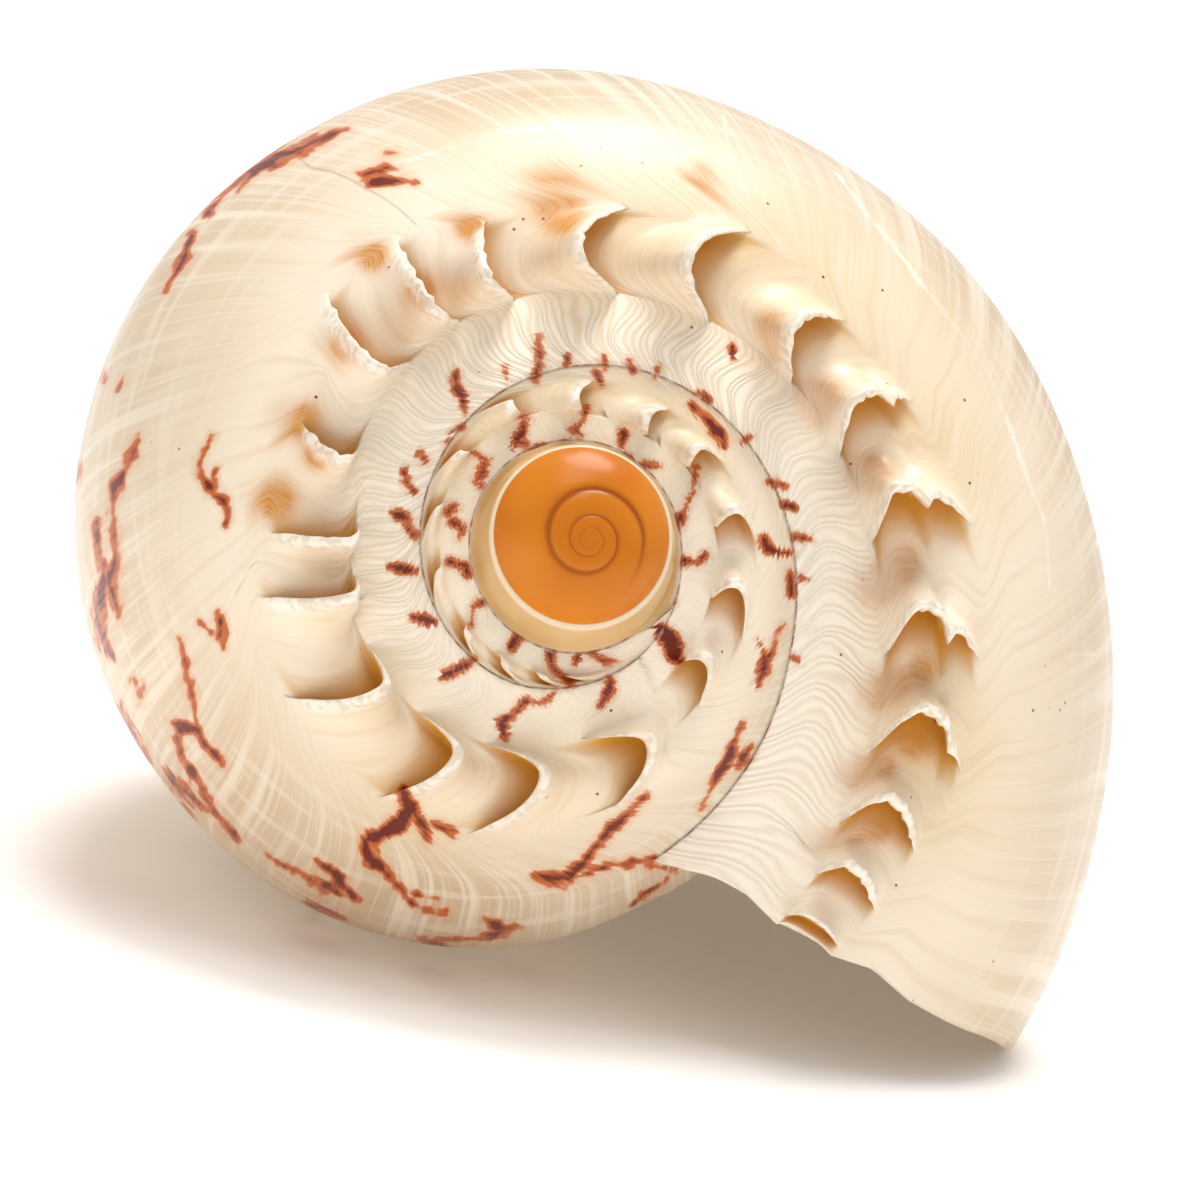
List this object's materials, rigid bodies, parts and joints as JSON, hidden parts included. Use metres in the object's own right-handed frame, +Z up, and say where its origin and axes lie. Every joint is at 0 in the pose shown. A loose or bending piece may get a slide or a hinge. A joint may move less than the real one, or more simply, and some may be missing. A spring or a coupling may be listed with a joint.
{
  "type": "melon shell",
  "caption": "Large rounded sea snail shell lying on its mouth, with a domed bud at the top, a spiral crown of hollow spines and a wide open hollow underneath.",
  "frame": {"origin": "centre of the footprint's box, on the surface that the shell lies on", "axes": "+Z up, +Y towards the front end of the shell, with the bud and the crown of spines facing -Y"},
  "size_m": [0.1412, 0.1948, 0.1141],
  "materials": {
    "shell": "glossy cream with red-brown marks and an orange bud"
  },
  "bodies": {
    "root": {"melon_shell": "shell"}
  },
  "joints": []
}
